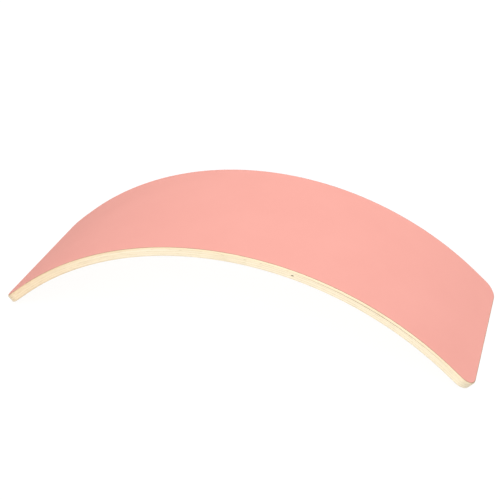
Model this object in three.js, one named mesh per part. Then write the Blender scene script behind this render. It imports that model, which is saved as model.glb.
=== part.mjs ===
// A curved balance board of bent plywood, standing as an arch on its two ends.
// A rectangular board with round corners is pressed from veneers over a curved mould, covered on
// its convex face with a coloured laminate sheet, cut to shape and rounded over along its edges.
// Millimetres. +Z is up, +X runs along the board and +Y across it. The origin is on the floor,
// midway between the ends. Depths are measured from the convex face, square to it.

import * as THREE from "three";

// The outline, measured along the convex face as if it were laid flat.
const BOARD_LENGTH = 923;
const BOARD_WIDTH = 300;
const CORNER_RADIUS = 26.5;

// The bend: an arc over the middle, and a flat stretch on its tangent at each end.
const CROWN_RADIUS = 576;
const FLAT_END = 52;

// The round-over that runs along both faces' edges.
const EDGE_ROUND = 3;

// The lay-up, from the convex face down.
const LAMINATE_THICKNESS = 0.3;
const ADHESIVE_THICKNESS = 0.1;
const VENEER_COUNT = 9;
const VENEER_THICKNESS = 1.7;
const GLUE_THICKNESS = 0.1;
const BOARD_THICKNESS = LAMINATE_THICKNESS + ADHESIVE_THICKNESS
  + VENEER_COUNT * VENEER_THICKNESS + (VENEER_COUNT - 1) * GLUE_THICKNESS;

// How finely the curves are stepped.
const ARC_STEPS_EACH_SIDE = 16;
const CORNER_STEPS = 5;
const ROUND_STEPS = 4;
const LEAST_RING_GAP = 0.2;

const laminateMaterial = new THREE.MeshStandardMaterial({ color: 0xf3ab9e, roughness: 0.85, metalness: 0 });
const adhesiveMaterial = new THREE.MeshStandardMaterial({ color: 0xc99f84, roughness: 0.6, metalness: 0 });
const longGrainMaterial = new THREE.MeshStandardMaterial({ color: 0xf6e6c8, roughness: 0.6, metalness: 0 });
const crossGrainMaterial = new THREE.MeshStandardMaterial({ color: 0xefdcba, roughness: 0.7, metalness: 0 });
const glueMaterial = new THREE.MeshStandardMaterial({ color: 0xc4a67c, roughness: 0.5, metalness: 0 });

// How far the edge stands back at a depth: a quarter circle near either face, 0 between them.
function insetAt(depth) {
  const fromFace = Math.max(Math.min(depth, BOARD_THICKNESS - depth), 0);
  const shortOfFull = Math.max(EDGE_ROUND - fromFace, 0);
  return EDGE_ROUND - Math.sqrt(EDGE_ROUND ** 2 - shortOfFull ** 2);
}

// Half of the outline at an inset, as [distance from the crown, half width] from the crown line to
// the end: along the straight side first, then round the corner.
function halfOutline(inset) {
  const sideEnd = BOARD_LENGTH / 2 - Math.max(FLAT_END, CORNER_RADIUS);
  const cornerAlong = BOARD_LENGTH / 2 - CORNER_RADIUS;
  const cornerAcross = BOARD_WIDTH / 2 - CORNER_RADIUS;
  const radius = CORNER_RADIUS - inset;
  const points = [];
  for (let i = 0; i <= ARC_STEPS_EACH_SIDE; i++) {
    points.push([(sideEnd * i) / ARC_STEPS_EACH_SIDE, BOARD_WIDTH / 2 - inset]);
  }
  for (let i = FLAT_END > CORNER_RADIUS ? 0 : 1; i <= CORNER_STEPS; i++) {
    const turn = (Math.PI / 2) * (1 - i / CORNER_STEPS);
    points.push([cornerAlong + radius * Math.cos(turn), cornerAcross + radius * Math.sin(turn)]);
  }
  return points;
}

// Bends a point of the flat board to its place, with the top of the crown at height 0.
function bend(along, across, depth) {
  const arcHalf = BOARD_LENGTH / 2 - FLAT_END;
  const onArc = THREE.MathUtils.clamp(along, -arcHalf, arcHalf);
  const pastArc = along - onArc;
  const angle = onArc / CROWN_RADIUS;
  const radius = CROWN_RADIUS - depth;
  const x = radius * Math.sin(angle) + pastArc * Math.cos(angle);
  const z = radius * Math.cos(angle) - pastArc * Math.sin(angle) - CROWN_RADIUS;
  return [x, across, z];
}

// The board's outline at a depth, bent to shape: for each station from one end to the other, its
// point on the -Y side and then its point on the +Y side.
function ringAt(depth) {
  const half = halfOutline(insetAt(depth));
  const stations = [...half.slice(1).reverse().map(([along, across]) => [-along, across]), ...half];
  return stations.flatMap(([along, across]) => [bend(along, -across, depth), bend(along, across, depth)]);
}

// The depths at which a layer's edge has a ring: its two faces, and the steps of either round-over
// that fall well inside it.
function ringDepths(top, bottom) {
  const steps = [];
  for (let i = 1; i < ROUND_STEPS; i++) {
    const fromFace = EDGE_ROUND * (1 - Math.sin((Math.PI / 2) * (i / ROUND_STEPS)));
    steps.push(fromFace, BOARD_THICKNESS - fromFace);
  }
  const inside = steps.filter((d) => d > top + LEAST_RING_GAP && d < bottom - LEAST_RING_GAP);
  return [top, ...inside.sort((a, b) => a - b), bottom];
}

// The closed surface of one layer: a ruled strip on its upper and lower faces, and a band of quads
// round its edge between each two rings.
function layerGeometry(top, bottom) {
  const rings = ringDepths(top, bottom).map(ringAt);
  const perRing = rings[0].length;
  const lastStation = perRing / 2 - 1;
  const lowest = rings.length - 1;
  const index = [];
  const nearPoint = (ring, station) => ring * perRing + 2 * station;
  const farPoint = (ring, station) => nearPoint(ring, station) + 1;
  const quad = (a, b, c, d) => index.push(a, b, c, a, c, d);
  for (let s = 0; s < lastStation; s++) {
    quad(nearPoint(0, s), nearPoint(0, s + 1), farPoint(0, s + 1), farPoint(0, s));
    quad(farPoint(lowest, s), farPoint(lowest, s + 1), nearPoint(lowest, s + 1), nearPoint(lowest, s));
  }
  for (let r = 0; r < lowest; r++) {
    for (let s = 0; s < lastStation; s++) {
      quad(nearPoint(r, s), nearPoint(r + 1, s), nearPoint(r + 1, s + 1), nearPoint(r, s + 1));
      quad(farPoint(r, s + 1), farPoint(r + 1, s + 1), farPoint(r + 1, s), farPoint(r, s));
    }
    quad(nearPoint(r, 0), farPoint(r, 0), farPoint(r + 1, 0), nearPoint(r + 1, 0));
    quad(farPoint(r, lastStation), nearPoint(r, lastStation),
      nearPoint(r + 1, lastStation), farPoint(r + 1, lastStation));
  }
  const geometry = new THREE.BufferGeometry();
  geometry.setAttribute("position", new THREE.Float32BufferAttribute(rings.flat(2), 3));
  geometry.setIndex(index);
  geometry.computeVertexNormals();
  return geometry;
}

function layerMesh(name, top, bottom, material) {
  const mesh = new THREE.Mesh(layerGeometry(top, bottom), material);
  mesh.name = name;
  return mesh;
}

// The depth of a veneer's upper face. Veneer 1 lies under the laminate.
function veneerTop(number) {
  return LAMINATE_THICKNESS + ADHESIVE_THICKNESS + (number - 1) * (VENEER_THICKNESS + GLUE_THICKNESS);
}

// The coloured sheet that covers the convex face.
function laminateSheet() {
  return layerMesh("laminate_sheet", 0, LAMINATE_THICKNESS, laminateMaterial);
}

// The adhesive that bonds the sheet to the first veneer.
function laminateAdhesive() {
  return layerMesh("laminate_adhesive", LAMINATE_THICKNESS, veneerTop(1), adhesiveMaterial);
}

// One veneer. Odd ones have their grain along the board and even ones across it.
function veneer(number) {
  const top = veneerTop(number);
  const material = number % 2 === 1 ? longGrainMaterial : crossGrainMaterial;
  return layerMesh(`veneer_${number}`, top, top + VENEER_THICKNESS, material);
}

// The cured glue between a veneer and the next.
function glueLine(number) {
  const top = veneerTop(number) + VENEER_THICKNESS;
  return layerMesh(`glue_line_${number}`, top, veneerTop(number + 1), glueMaterial);
}

const board = new THREE.Group();
board.add(laminateSheet(), laminateAdhesive());
for (let number = 1; number <= VENEER_COUNT; number++) {
  board.add(veneer(number));
}
for (let number = 1; number < VENEER_COUNT; number++) {
  board.add(glueLine(number));
}

// Stands the board on the floor.
board.position.z = -new THREE.Box3().setFromObject(board).min.z;

export default board;
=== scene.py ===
"""A curved balance board of bent plywood, standing as an arch on its two ends.

Nine wood veneers and their glue lines carry a thin pink laminate sheet on the convex face. Lengths
are in metres. A place on the board is given flat, as it was before it was bent: how far along the
board from the crown, how far across it from the middle, and how deep under the convex face.
"""
import math

import bpy
import numpy as np
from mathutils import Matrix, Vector


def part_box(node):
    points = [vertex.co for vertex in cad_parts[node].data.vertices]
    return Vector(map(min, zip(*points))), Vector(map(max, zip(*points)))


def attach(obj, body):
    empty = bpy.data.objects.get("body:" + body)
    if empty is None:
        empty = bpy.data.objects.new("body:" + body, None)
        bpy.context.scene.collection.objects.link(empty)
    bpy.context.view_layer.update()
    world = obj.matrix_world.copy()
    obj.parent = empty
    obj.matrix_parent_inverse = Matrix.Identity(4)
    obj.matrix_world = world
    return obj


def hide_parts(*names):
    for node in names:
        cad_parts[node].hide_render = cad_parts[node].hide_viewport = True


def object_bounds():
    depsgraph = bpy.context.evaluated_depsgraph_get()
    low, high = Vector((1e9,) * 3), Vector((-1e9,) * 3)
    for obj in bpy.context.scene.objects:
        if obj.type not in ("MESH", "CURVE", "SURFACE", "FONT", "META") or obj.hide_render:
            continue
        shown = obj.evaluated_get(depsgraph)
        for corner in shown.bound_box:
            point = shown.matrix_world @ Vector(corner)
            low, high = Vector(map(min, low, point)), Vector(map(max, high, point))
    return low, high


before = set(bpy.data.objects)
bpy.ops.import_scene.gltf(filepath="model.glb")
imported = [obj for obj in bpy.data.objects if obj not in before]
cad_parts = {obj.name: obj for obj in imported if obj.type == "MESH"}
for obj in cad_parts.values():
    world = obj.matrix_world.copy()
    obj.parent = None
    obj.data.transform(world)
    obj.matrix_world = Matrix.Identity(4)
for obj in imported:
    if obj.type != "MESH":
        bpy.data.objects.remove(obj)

cad_low, cad_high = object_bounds()


# ---------------------------------------------------------------------------------------------
# Long-grain veneers: the five birch veneers whose grain runs along the board, the outermost two
# among them. They are peeled from the log, glued over a curved mould, then cut to the outline,
# rounded over with a router, sanded and clear coated.
# ---------------------------------------------------------------------------------------------
BOARD_LENGTH = 0.923
CORNER_RADIUS = 0.0265
CROWN_RADIUS = 0.576
FLAT_END = 0.052
EDGE_ROUND = 0.003
VENEER_COUNT = 9
STATION_GAP = 0.005
CORNER_STEPS = 14
ROUND_STEPS = 12
RING_CLEAR = 0.00004
SHARP_ANGLE = math.radians(35)

board_width = cad_high.y - cad_low.y
crown_height = cad_high.z


def depth_of(node):
    """How deep a layer's upper face lies: the crown's height less the node's highest point."""
    return crown_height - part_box(node)[1].z


veneer_thickness = depth_of("glue_line_1") - depth_of("veneer_1")
glue_thickness = depth_of("veneer_2") - depth_of("glue_line_1")
board_thickness = depth_of("veneer_9") + veneer_thickness


def inset_at(depth):
    """How far the edge stands back: a quarter circle near either face, and 0 between them."""
    from_face = np.clip(np.minimum(depth, board_thickness - depth), 0, EDGE_ROUND)
    return EDGE_ROUND - np.sqrt(EDGE_ROUND**2 - (EDGE_ROUND - from_face) ** 2)


def side_stations(further):
    """Places along the straight side: even steps over the bend and the flat ends up to the
    corners, with the further places that a piece needs."""
    bend_end = BOARD_LENGTH / 2 - FLAT_END
    corner_start = BOARD_LENGTH / 2 - CORNER_RADIUS
    bent = np.linspace(-bend_end, bend_end, 2 * round(bend_end / STATION_GAP) + 1)
    flat = np.linspace(bend_end, corner_start, 1 + round((corner_start - bend_end) / STATION_GAP))
    return np.unique(np.concatenate([-flat, bent, flat, np.asarray(further, float)]).round(7))


def outline(side, inset):
    """Station places and half widths from end to end of the board: the straight side's
    stations, and at either end a quarter turn of the corner, whose radius loses the inset."""
    turn = np.linspace(math.pi / 2, 0, CORNER_STEPS + 1)[1:]
    inset = np.broadcast_to(inset, len(side) + 2 * CORNER_STEPS)
    left, middle, right = np.split(inset, [CORNER_STEPS, -CORNER_STEPS])
    end_along = BOARD_LENGTH / 2 - CORNER_RADIUS
    end_half = board_width / 2 - CORNER_RADIUS
    along = np.concatenate([
        -end_along - (CORNER_RADIUS - left) * np.cos(turn[::-1]), side,
        end_along + (CORNER_RADIUS - right) * np.cos(turn),
    ])
    half = np.concatenate([
        end_half + (CORNER_RADIUS - left) * np.sin(turn[::-1]), board_width / 2 - middle,
        end_half + (CORNER_RADIUS - right) * np.sin(turn),
    ])
    return along, half


def bend(along, across, depth):
    """The flat place bent to shape: round the arc at the crown radius less the depth, and on
    along the arc's tangent past its end."""
    arc_half = BOARD_LENGTH / 2 - FLAT_END
    on_arc = np.clip(along, -arc_half, arc_half)
    past_arc = along - on_arc
    angle = on_arc / CROWN_RADIUS
    radius = CROWN_RADIUS - depth
    x = radius * np.sin(angle) + past_arc * np.cos(angle)
    z = radius * np.cos(angle) - past_arc * np.sin(angle) + crown_height - CROWN_RADIUS
    return np.stack(np.broadcast_arrays(x, across, z), axis=-1)


def block_skin(stations, columns, rings):
    """The outer skin of a block of points numbered station by column by ring: its six sides as
    quads that face out, and which of the block's points they use."""
    number = np.arange(stations * columns * rings).reshape(stations, columns, rings)

    def side(grid, flip):
        """A side's quads: each point, the next one way, the next both ways, the next the other."""
        quads = np.stack([grid[:-1, :-1], grid[1:, :-1], grid[1:, 1:], grid[:-1, 1:]], axis=-1)
        quads = quads.reshape(-1, 4)
        return quads[:, ::-1] if flip else quads

    quads = np.concatenate([
        side(number[:, :, 0], False), side(number[:, :, -1], True),
        side(number[:, 0, :], True), side(number[:, -1, :], False),
        side(number[0, :, :], False), side(number[-1, :, :], True),
    ])
    used, quads = np.unique(quads, return_inverse=True)
    return used, quads.reshape(-1, 4)


def layer_piece(name, top, bottom, columns=(-1.0, 1.0), stations=(), rings=(), near_cut=None):
    """A layer's mesh between two faces, each a function of the place along the board that gives
    its depth. Rings go down its edge, at the faces and at each step of the two round-overs
    between them. Columns are shares of the half width. The further stations and rings serve
    near_cut, which gives how far the near edge is cut back at a place and depth. Each point
    keeps its flat place and how far it was cut back as attributes."""
    side = side_stations(stations)
    nominal = outline(side, EDGE_ROUND)[0]
    upper, lower = top(nominal), bottom(nominal)
    turn = np.linspace(0, math.pi / 2, ROUND_STEPS + 1)[1:-1]
    steps = EDGE_ROUND * (1 - np.sin(turn))
    steps = np.concatenate([steps, board_thickness - steps, np.asarray(rings, float)])
    inside = steps[(steps > upper.max() + RING_CLEAR) & (steps < lower.min() - RING_CLEAR)]
    depths = [upper, *[np.full(len(nominal), d) for d in np.sort(inside)], lower]

    along, half = zip(*[outline(side, inset_at(d)) for d in depths])
    along, half, depth = (np.stack(a, axis=1)[:, None, :] for a in (along, half, depths))
    cut = near_cut(along, depth) if near_cut else np.zeros_like(depth)
    share = (np.asarray(columns, float)[None, :, None] + 1) / 2
    across = (cut - half) * (1 - share) + half * share
    along, across, depth, cut = np.broadcast_arrays(along, across, depth, cut * (1 - share))
    used, quads = block_skin(*along.shape)

    flat = np.stack([along, across, depth], axis=-1).reshape(-1, 3)[used]
    mesh = bpy.data.meshes.new(name)
    mesh.from_pydata(bend(flat[:, 0], flat[:, 1], flat[:, 2]), [], quads)
    place = mesh.attributes.new("flat_place", "FLOAT_VECTOR", "POINT")
    place.data.foreach_set("vector", flat.astype(np.float32).ravel())
    cut_back = mesh.attributes.new("cut_back", "FLOAT", "POINT")
    cut_back.data.foreach_set("value", cut.reshape(-1)[used].astype(np.float32))
    mesh.shade_smooth()
    mesh.set_sharp_from_angle(angle=SHARP_ANGLE)
    piece = bpy.data.objects.new(name, mesh)
    bpy.context.scene.collection.objects.link(piece)
    return piece


# The second joint did not close fully when the board was pressed. It is thick with glue along
# one stretch, and for a few millimetres at some places near the crown. Its glue reaches right
# across the board, and stands back from the near edge alone.
OPEN_LINE = 2
OPEN_WIDTH = 0.00068
OPEN_SINK = 0.00035
OPEN_PLACE, OPEN_SPREAD = 0.264, 0.096
SHORT_OPENINGS = (-0.072, 0.001, 0.038, 0.065)
SHORT_HALF = 0.005
SHORT_SHARE = 0.6
SHORT_STEPS = 9
STRAY = 0.00005
STRAY_RATE = 7.0
STRAY_RATE_DRAW = 0.3
STRAY_WAVES = 4

short_stations = np.add.outer(SHORT_OPENINGS, SHORT_HALF * np.linspace(-1, 1, SHORT_STEPS)).ravel()


def open_joint(along):
    """How far the joint stands open, from 0 to 1: a long bell curve, and a short smooth hump at
    each of the other places."""
    share = np.exp(-((along - OPEN_PLACE) ** 2) / (2 * OPEN_SPREAD**2))
    for place in SHORT_OPENINGS:
        near = np.clip(1 - np.abs(along - place) / SHORT_HALF, 0, 1)
        share = np.maximum(share, SHORT_SHARE * near**2 * (3 - 2 * near))
    return share


def stray(along, line):
    """How far a glue line strays from its nominal depth as it runs along the board: a few sine
    waves of falling height, with rates and phases drawn with the line's number as the seed.
    The open line also sinks a little where it is open."""
    draw = np.random.default_rng(line)
    total = np.zeros_like(along)
    for order in range(1, STRAY_WAVES + 1):
        rate = STRAY_RATE * order * (1 + STRAY_RATE_DRAW * draw.random())
        total += np.sin(rate * along + 2 * math.pi * draw.random()) / order
    sink = OPEN_SINK * open_joint(along) if line == OPEN_LINE else 0.0
    return STRAY * total + sink


def line_face(line, below):
    """A face of a glue line, its upper one or the one below, as a function of the place along
    the board: half the glue's thickness from the line's middle, and more where it is open."""
    def depth(along):
        """The line's nominal middle and its stray, minus or plus half its thickness."""
        half = glue_thickness / 2
        if line == OPEN_LINE:
            half = half + OPEN_WIDTH / 2 * open_joint(along)
        middle = depth_of(f"glue_line_{line}") + glue_thickness / 2 + stray(along, line)
        return middle + (half if below else -half)

    return depth


def level_face(depth):
    """A face at one depth all along the board."""
    return lambda along: np.full_like(along, depth)


def veneer_faces(number):
    """A veneer's upper and lower face: the glue lines' faces, or the board's own."""
    upper = line_face(number - 1, True) if number > 1 else level_face(depth_of("veneer_1"))
    lower = line_face(number, False) if number < VENEER_COUNT else level_face(board_thickness)
    return upper, lower


def beside_opening(number):
    """The further stations of a veneer: the short openings' own if it lies beside them."""
    return short_stations if number in (OPEN_LINE, OPEN_LINE + 1) else ()


# A small knot in the middle veneer broke out of the near edge and left a hole.
HOLE_VENEER = 5
HOLE_PLACE = 0.1184
HOLE_LENGTH = 0.0048
HOLE_HEIGHT = 0.00135
HOLE_DEPTH = 0.004
HOLE_EGG = 0.16
HOLE_RAGGED, HOLE_LOBES = 0.10, 5
HOLE_STEPS = 15
HOLE_REACH = 0.66

hole_middle = depth_of(f"veneer_{HOLE_VENEER}") + veneer_thickness / 2
hole_steps = np.linspace(-HOLE_REACH, HOLE_REACH, 2 * HOLE_STEPS + 1)


def hole_cut(along, depth):
    """How far the near edge is cut back in the hole: an egg-shaped opening with ragged ends,
    steep at its rim and rounded off at the back."""
    x = (along - HOLE_PLACE) / (HOLE_LENGTH / 2)
    z = (depth - hole_middle) / (HOLE_HEIGHT / 2)
    rim = 1 + HOLE_EGG * x + HOLE_RAGGED * np.sin(HOLE_LOBES * np.arctan2(z, x))
    inside = np.clip(1 - (x**2 + z**2) / rim**2, 0, 1)
    return HOLE_DEPTH * np.sqrt(inside)


def add_node(tree, kind, **values):
    """A shader node with its settings, and its inputs' values or links by name or number."""
    made = tree.nodes.new(kind)
    inputs = values.pop("inputs", {})
    for key, value in values.items():
        setattr(made, key, value)
    for name, item in inputs.items():
        if isinstance(item, bpy.types.NodeSocket):
            tree.links.new(item, made.inputs[name])
        else:
            made.inputs[name].default_value = item
    return made


def new_material(name):
    """An empty node material: the material, its tree, its shader and its flat place."""
    material = bpy.data.materials.new(name)
    material.use_nodes = True
    tree = material.node_tree
    place = add_node(tree, "ShaderNodeAttribute", attribute_name="flat_place")
    return material, tree, tree.nodes["Principled BSDF"], place.outputs["Vector"]


def stretched_noise(tree, place, per_metre, detail=3.0, roughness=0.55):
    """Noise with its own number of cells a metre along, across and down the board."""
    mapped = add_node(tree, "ShaderNodeMapping", inputs={"Vector": place, "Scale": per_metre})
    noise = add_node(
        tree, "ShaderNodeTexNoise",
        inputs={"Vector": mapped.outputs["Vector"], "Scale": 1.0, "Detail": detail, "Roughness": roughness},
    )
    return noise.outputs["Fac"]


def ramp(tree, factor, *stops):
    """A colour ramp through (position, colour) stops."""
    made = add_node(tree, "ShaderNodeValToRGB", inputs={"Fac": factor})
    elements = made.color_ramp.elements
    elements[0].position, elements[0].color = stops[0]
    elements[1].position, elements[1].color = stops[-1]
    for position, color in stops[1:-1]:
        elements.new(position).color = color
    return made.outputs["Color"]


def mix(tree, blend_type, factor, first, second):
    """Two colours blended by a factor. A Mix node takes its colours by its inputs 6 and 7."""
    made = add_node(tree, "ShaderNodeMix", data_type="RGBA", blend_type=blend_type)
    for number, item in ((0, factor), (6, first), (7, second)):
        if isinstance(item, bpy.types.NodeSocket):
            tree.links.new(item, made.inputs[number])
        else:
            made.inputs[number].default_value = item
    return made.outputs[2]


def where_cut(tree, full):
    """From 0 on the sanded edge to 1 where a hole or an open joint is cut back by full, for their painted
    shade.
    """
    cut = add_node(tree, "ShaderNodeAttribute", attribute_name="cut_back")
    share = add_node(
        tree, "ShaderNodeMath", operation="DIVIDE", use_clamp=True,
        inputs={0: cut.outputs["Fac"], 1: full},
    )
    return share.outputs[0]


BIRCH_PALE = (0.880, 0.800, 0.630, 1.0)
BIRCH_WARM = (0.830, 0.725, 0.535, 1.0)
BIRCH_PORE = (0.560, 0.410, 0.240, 1.0)
BAND_TINT = (0.90, 0.87, 0.82, 1.0)
FIBRE_TINT = (0.90, 0.86, 0.80, 1.0)
# The darker tint of end grain, also put on the first veneer as painted shade.
END_GRAIN_AND_SHADE_TINT = (0.90, 0.82, 0.70, 1.0)
# Painted shade: the ends, which face down and away from the lamps, greyer and darker.
END_SHADE_TINT = (0.80, 0.81, 0.80, 1.0)
END_CUT_FADE = 0.0004
# Painted shade: the wood darker and warmer towards the left end, where less light falls.
LEFT_END_SHADE = (0.95, 0.87, 0.80, 1.0)
LEFT_SHADE_START, LEFT_SHADE_FULL = -0.10, -0.44
NO_TINT = (1.0, 1.0, 1.0, 1.0)
BAND_RISES = 11.0
BAND_SHARE = 0.75
FIBRE_SHARE = 0.8
# Painted shade: a dark brown lining inside the hole at the near edge.
HOLE_SHADE_BROWN = (0.075, 0.040, 0.018, 1.0)
HOLE_SHADE_REACH = 0.0004
WOOD_ROUGH, FIBRE_ROUGH = 0.48, 0.60
WOOD_GLOSS = 0.45
GRAIN_RELIEF, GRAIN_STRENGTH = 0.00006, 0.25

# The grain's patterns, in cells a metre with the grain, over it and through the board.
TONE_CELLS = (3, 7, 420)
BAND_CELLS = (2.2, 17, 90)
FIBRE_CELLS = (26, 2600, 3600)
PORE_CELLS = (160, 3400, 5200)


def ends_shade_share(tree, parts):
    """Where the ends' painted shade goes, from 0 on the long edges to 1 on the ends: how far round
    the corner the edge has turned, by the cosine, from how far along the board it lies. The
    concave face is left out, which lies a hair deeper than any of the edge."""
    along = add_node(tree, "ShaderNodeMath", operation="ABSOLUTE", inputs={0: parts.outputs["X"]})
    turned = add_node(
        tree, "ShaderNodeMapRange",
        inputs={
            "Value": along.outputs[0],
            "From Min": BOARD_LENGTH / 2 - CORNER_RADIUS, "From Max": BOARD_LENGTH / 2,
        },
    )
    on_edge = add_node(
        tree, "ShaderNodeMapRange",
        inputs={
            "Value": parts.outputs["Z"],
            "From Min": board_thickness, "From Max": board_thickness - END_CUT_FADE,
        },
    )
    share = add_node(
        tree, "ShaderNodeMath", operation="MULTIPLY",
        inputs={0: turned.outputs["Result"], 1: on_edge.outputs["Result"]},
    )
    return share.outputs[0]


def wood_material(name, along_board, end_grain_and_shade_share):
    """Clear-coated birch whose grain runs along the board or across it. Broad tone drifts from
    veneer to veneer, growth bands meander over it, and fine fibres and short pores run with the
    grain. A share of the end-grain tint darkens it: end grain on the cross-grain veneers, painted
    shade on the first veneer. Painted shade makes it darker and warmer towards the left end and
    greyer on the ends, and paints a hole in it dark brown inside."""
    material, tree, shader, place = new_material(name)

    def on_board(cells):
        """A pattern's cells along, across and down the board."""
        with_grain, over_grain, through = cells
        return cells if along_board else (over_grain, with_grain, through)

    tone = stretched_noise(tree, place, on_board(TONE_CELLS), detail=2)
    band_noise = stretched_noise(tree, place, on_board(BAND_CELLS), detail=2, roughness=0.45)
    bands = add_node(tree, "ShaderNodeMath", operation="MULTIPLY", inputs={0: band_noise, 1: BAND_RISES})
    bands = add_node(tree, "ShaderNodeMath", operation="PINGPONG", inputs={0: bands.outputs[0], 1: 1.0})
    fibre = stretched_noise(tree, place, on_board(FIBRE_CELLS), detail=4)
    pores = stretched_noise(tree, place, on_board(PORE_CELLS), detail=1)

    color = ramp(tree, tone, (0.30, BIRCH_WARM), (0.72, BIRCH_PALE))
    band = ramp(tree, bands.outputs[0], (0.0, BAND_TINT), (0.35, NO_TINT))
    color = mix(tree, "MULTIPLY", BAND_SHARE, color, band)
    streak = ramp(tree, fibre, (0.25, FIBRE_TINT), (0.62, NO_TINT))
    color = mix(tree, "MULTIPLY", FIBRE_SHARE, color, streak)
    pit = ramp(tree, pores, (0.24, (1, 1, 1, 1)), (0.32, (0, 0, 0, 1)))
    color = mix(tree, "MIX", pit, color, BIRCH_PORE)
    # End grain's tint on the cross-grain veneers, painted shade on the first veneer.
    color = mix(tree, "MULTIPLY", end_grain_and_shade_share, color, END_GRAIN_AND_SHADE_TINT)
    parts = add_node(tree, "ShaderNodeSeparateXYZ", inputs={"Vector": place})
    # Painted shade: darker and warmer towards the left end.
    left_shade = add_node(
        tree, "ShaderNodeMapRange", interpolation_type="SMOOTHSTEP",
        inputs={"Value": parts.outputs["X"], "From Min": LEFT_SHADE_START, "From Max": LEFT_SHADE_FULL},
    )
    color = mix(tree, "MULTIPLY", left_shade.outputs["Result"], color, LEFT_END_SHADE)
    # Painted shade: the ends greyer and darker.
    color = mix(tree, "MULTIPLY", ends_shade_share(tree, parts), color, END_SHADE_TINT)
    # Painted shade: dark brown inside the hole.
    color = mix(tree, "MIX", where_cut(tree, HOLE_SHADE_REACH), color, HOLE_SHADE_BROWN)
    tree.links.new(color, shader.inputs["Base Color"])

    rough = add_node(
        tree, "ShaderNodeMapRange",
        inputs={
            "Value": fibre, "From Min": 0.2, "From Max": 0.8, "To Min": FIBRE_ROUGH, "To Max": WOOD_ROUGH,
        },
    )
    tree.links.new(rough.outputs["Result"], shader.inputs["Roughness"])
    relief = add_node(
        tree, "ShaderNodeBump",
        inputs={"Strength": GRAIN_STRENGTH, "Distance": GRAIN_RELIEF, "Height": fibre},
    )
    tree.links.new(relief.outputs["Normal"], shader.inputs["Normal"])
    shader.inputs["Specular IOR Level"].default_value = WOOD_GLOSS
    return material


# Columns for a face that shows: even ones, and one close inside either edge, which keeps the
# round-over's shading off the flat of the face.
CLOSE_COLUMN = 0.9965
EVEN_REACH, EVEN_COLUMNS = 0.992, 13

even_columns = np.linspace(-EVEN_REACH, EVEN_REACH, EVEN_COLUMNS)
wide_columns = (-1.0, -CLOSE_COLUMN, *even_columns, CLOSE_COLUMN, 1.0)

# The veneer under the laminate is painted darker than the other four with the end-grain tint: painted shade
# on the round-over, which otherwise catches more light than the rest of the edge.
FIRST_VENEER_SHADE_SHARE = 0.70

first_veneer_shaded_wood = wood_material("first_veneer_shaded_birch", True, FIRST_VENEER_SHADE_SHARE)
long_grain_wood = wood_material("long_grain_birch", True, 0.0)
for number in range(1, VENEER_COUNT + 1, 2):
    node = f"veneer_{number}"
    details = {"stations": beside_opening(number)}
    if number == HOLE_VENEER:
        details = {
            "stations": HOLE_PLACE + HOLE_LENGTH * hole_steps,
            "rings": hole_middle + HOLE_HEIGHT * hole_steps,
            "near_cut": hole_cut,
        }
    columns = wide_columns if number == VENEER_COUNT else (-1.0, 1.0)
    piece = layer_piece(node + "_wood", *veneer_faces(number), columns, **details)
    piece.data.materials.append(first_veneer_shaded_wood if number == 1 else long_grain_wood)
    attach(piece, "root")
    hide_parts(node)


# ---------------------------------------------------------------------------------------------
# Cross-grain veneers: the four inner veneers whose grain runs across the board, so that the
# long edges show their end grain, a little darker. They keep the plywood from splitting.
# ---------------------------------------------------------------------------------------------
END_GRAIN_SHARE = 0.40

cross_grain_wood = wood_material("cross_grain_birch", False, END_GRAIN_SHARE)
for number in range(2, VENEER_COUNT, 2):
    node = f"veneer_{number}"
    piece = layer_piece(node + "_wood", *veneer_faces(number), stations=beside_opening(number))
    piece.data.materials.append(cross_grain_wood)
    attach(piece, "root")
    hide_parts(node)


# ---------------------------------------------------------------------------------------------
# Glue lines: the cured resin between the veneers, a tenth of a millimetre thick. The edge was
# cut and sanded through them, so they show as thin amber lines. Where the second joint did not
# close, its glue is thicker and stands a little back from the near edge, and is painted dark
# brown there: painted shade in the open joint.
GLUE_AMBER = (0.560, 0.420, 0.260, 1.0)
GLUE_PALE = (0.740, 0.620, 0.440, 1.0)
# Painted shade: the dark brown of the open joint where its glue stands back.
OPEN_JOINT_SHADE = (0.240, 0.130, 0.030, 1.0)
GLUE_CELLS = (34, 34, 900)
GLUE_ROUGH = 0.42
OPEN_RECESS = 0.00008


def glue_material(name, dark, pale, recess_shade):
    """Satin resin whose colour wanders between two tones along the line, and turns to a painted
    shade colour where it is cut back."""
    material, tree, shader, place = new_material(name)
    tone = stretched_noise(tree, place, GLUE_CELLS, detail=3)
    color = ramp(tree, tone, (0.35, dark), (0.65, pale))
    # Painted shade where the glue is cut back.
    color = mix(tree, "MIX", where_cut(tree, OPEN_RECESS), color, recess_shade)
    tree.links.new(color, shader.inputs["Base Color"])
    shader.inputs["Roughness"].default_value = GLUE_ROUGH
    return material


def open_recess(along, depth):
    """How far the glue stands back from the near edge: the recess where its joint is fully
    open, in the share that it is open, and the same at any depth."""
    return OPEN_RECESS * open_joint(along)


veneer_glue = glue_material("veneer_glue", GLUE_AMBER, GLUE_PALE, OPEN_JOINT_SHADE)
for number in range(1, VENEER_COUNT):
    node = f"glue_line_{number}"
    faces = line_face(number, False), line_face(number, True)
    opening = {"stations": short_stations, "near_cut": open_recess} if number == OPEN_LINE else {}
    piece = layer_piece(node + "_resin", *faces, **opening)
    piece.data.materials.append(veneer_glue)
    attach(piece, "root")
    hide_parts(node)


# ---------------------------------------------------------------------------------------------
# Laminate adhesive: the contact adhesive under the coloured sheet, which shows as a brownish
# hairline between the pink and the wood where the edge is rounded over.
# ---------------------------------------------------------------------------------------------
ADHESIVE_BROWN = (0.190, 0.110, 0.065, 1.0)
ADHESIVE_TAN = (0.450, 0.300, 0.190, 1.0)

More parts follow.
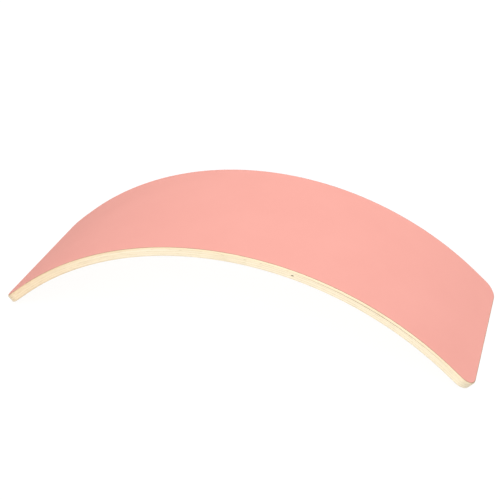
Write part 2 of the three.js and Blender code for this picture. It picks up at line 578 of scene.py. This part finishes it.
contact_adhesive = glue_material("contact_adhesive", ADHESIVE_BROWN, ADHESIVE_TAN, ADHESIVE_BROWN)
sheet_face, adhesive_face = depth_of("laminate_sheet"), depth_of("laminate_adhesive")
piece = layer_piece("laminate_adhesive_film", level_face(adhesive_face), veneer_faces(1)[0])
piece.data.materials.append(contact_adhesive)
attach(piece, "root")
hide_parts("laminate_adhesive")


# ---------------------------------------------------------------------------------------------
# Laminate sheet: the pink sheet on the convex face, a thin matte laminate bonded on before the
# board was cut. The router rounded it over with the wood, so its edge shows its brown core.
# ---------------------------------------------------------------------------------------------
PINK = (0.754, 0.346, 0.298, 1.0)
PINK_DEEP = (0.740, 0.335, 0.287, 1.0)
LAMINATE_CORE = (0.360, 0.205, 0.130, 1.0)
DECOR_DEPTH = 0.00010
CLOUD_CELLS = (9, 9, 9)
PEBBLE_CELLS = (1800, 1800, 1800)
PEBBLE_RELIEF, PEBBLE_STRENGTH = 0.00004, 0.3
LAMINATE_ROUGH, LAMINATE_GLOSS = 0.85, 0.06


def laminate_material():
    """Matte pink with a faint cloudy drift and a very fine pebbled surface. Under the coloured
    skin of the sheet its cut edge turns to the brown core."""
    material, tree, shader, place = new_material("pink_laminate")
    cloud = stretched_noise(tree, place, CLOUD_CELLS, detail=3)
    color = ramp(tree, cloud, (0.3, PINK_DEEP), (0.7, PINK))
    parts = add_node(tree, "ShaderNodeSeparateXYZ", inputs={"Vector": place})
    in_core = add_node(
        tree, "ShaderNodeMath", operation="GREATER_THAN",
        inputs={0: parts.outputs["Z"], 1: DECOR_DEPTH},
    )
    color = mix(tree, "MIX", in_core.outputs[0], color, LAMINATE_CORE)
    tree.links.new(color, shader.inputs["Base Color"])
    pebble = stretched_noise(tree, place, PEBBLE_CELLS, detail=2)
    relief = add_node(
        tree, "ShaderNodeBump",
        inputs={"Strength": PEBBLE_STRENGTH, "Distance": PEBBLE_RELIEF, "Height": pebble},
    )
    tree.links.new(relief.outputs["Normal"], shader.inputs["Normal"])
    shader.inputs["Roughness"].default_value = LAMINATE_ROUGH
    shader.inputs["Specular IOR Level"].default_value = LAMINATE_GLOSS
    return material


piece = layer_piece("laminate_sheet_pink", level_face(sheet_face), level_face(adhesive_face), wide_columns)
piece.data.materials.append(laminate_material())
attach(piece, "root")
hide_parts("laminate_sheet")


# ---------------------------------------------------------------------------------------------
# Floor: a plain white studio floor that glows strongly, as a lit light table does, so that
# hardly any shadow shows under the board.
# ---------------------------------------------------------------------------------------------
FLOOR_HALF = 12.0
FLOOR_COLOR = (0.10, 0.10, 0.10, 1.0)
FLOOR_GLOW = 0.92
FLOOR_ROUGH = 0.9

floor_mesh = bpy.data.meshes.new("studio_floor")
floor_corners = [(-FLOOR_HALF, -FLOOR_HALF, 0), (FLOOR_HALF, -FLOOR_HALF, 0),
                 (FLOOR_HALF, FLOOR_HALF, 0), (-FLOOR_HALF, FLOOR_HALF, 0)]
floor_mesh.from_pydata(floor_corners, [], [(0, 1, 2, 3)])
studio_floor = bpy.data.objects.new("studio_floor", floor_mesh)
bpy.context.scene.collection.objects.link(studio_floor)
floor_paint = bpy.data.materials.new("floor_paint")
floor_paint.use_nodes = True
floor_shader = floor_paint.node_tree.nodes["Principled BSDF"]
floor_shader.inputs["Base Color"].default_value = FLOOR_COLOR
floor_shader.inputs["Roughness"].default_value = FLOOR_ROUGH
floor_shader.inputs["Specular IOR Level"].default_value = 0.0
floor_shader.inputs["Emission Color"].default_value = (1, 1, 1, 1)
floor_shader.inputs["Emission Strength"].default_value = FLOOR_GLOW
floor_mesh.materials.append(floor_paint)


# ---------------------------------------------------------------------------------------------
# Light: a dark room that looks white from the camera, and three very soft far lamps: one above
# and a little to the right, one in front at half height, and a low one behind.
# ---------------------------------------------------------------------------------------------
ROOM_LIGHT = 0.03
ROOM_LOOK = 1.0
LAMP_SPREAD = math.radians(70)

room = bpy.data.worlds.new("white_room")
room.use_nodes = True
room_tree = room.node_tree
seen = add_node(room_tree, "ShaderNodeLightPath").outputs["Is Camera Ray"]
strength = add_node(
    room_tree, "ShaderNodeMapRange",
    inputs={"Value": seen, "To Min": ROOM_LIGHT, "To Max": ROOM_LOOK},
)
backdrop = room_tree.nodes["Background"]
backdrop.inputs["Color"].default_value = (1, 1, 1, 1)
room_tree.links.new(strength.outputs["Result"], backdrop.inputs["Strength"])
bpy.context.scene.world = room


def soft_lamp(name, towards, strength):
    """A far lamp in a direction, whose strength is the light it gives a face square to it."""
    lamp = bpy.data.lights.new(name, "SUN")
    lamp.angle = LAMP_SPREAD
    lamp.energy = strength * math.pi
    holder = bpy.data.objects.new(name, lamp)
    holder.rotation_mode = "QUATERNION"
    holder.rotation_quaternion = Vector(towards).to_track_quat("Z", "Y")
    bpy.context.scene.collection.objects.link(holder)


soft_lamp("top_lamp", (0.10, 0.0, 1.0), 0.585)
soft_lamp("front_lamp", (0.10, -1.0, 0.93), 0.86)
soft_lamp("back_lamp", (0.0, 1.0, 0.25), 0.45)


# ---------------------------------------------------------------------------------------------
# Camera: a 75 mm lens, a little right of the board's front and looking down on it.
# ---------------------------------------------------------------------------------------------
CAMERA_AZIMUTH = math.radians(17.97)
CAMERA_ELEVATION = math.radians(30.73)
CAMERA_DISTANCE = 1.815
AIM_BELOW_CROWN = 0.0801
AIM_LEFT = 0.0022
FOCAL_LENGTH_MM = 75.0
SENSOR_WIDTH_MM = 36.0

lens = bpy.data.cameras.new("camera")
lens.lens = FOCAL_LENGTH_MM
lens.sensor_width = SENSOR_WIDTH_MM
camera = bpy.data.objects.new("camera", lens)
aim_point = np.array([-AIM_LEFT, 0.0, crown_height - AIM_BELOW_CROWN])
backwards = np.array([
    math.sin(CAMERA_AZIMUTH) * math.cos(CAMERA_ELEVATION),
    -math.cos(CAMERA_AZIMUTH) * math.cos(CAMERA_ELEVATION),
    math.sin(CAMERA_ELEVATION),
])
camera.location = aim_point + CAMERA_DISTANCE * backwards
camera.rotation_mode = "QUATERNION"
camera.rotation_quaternion = Vector(backwards).to_track_quat("Z", "Y")
bpy.context.scene.collection.objects.link(camera)
bpy.context.scene.camera = camera
bpy.context.scene.view_settings.view_transform = "Standard"
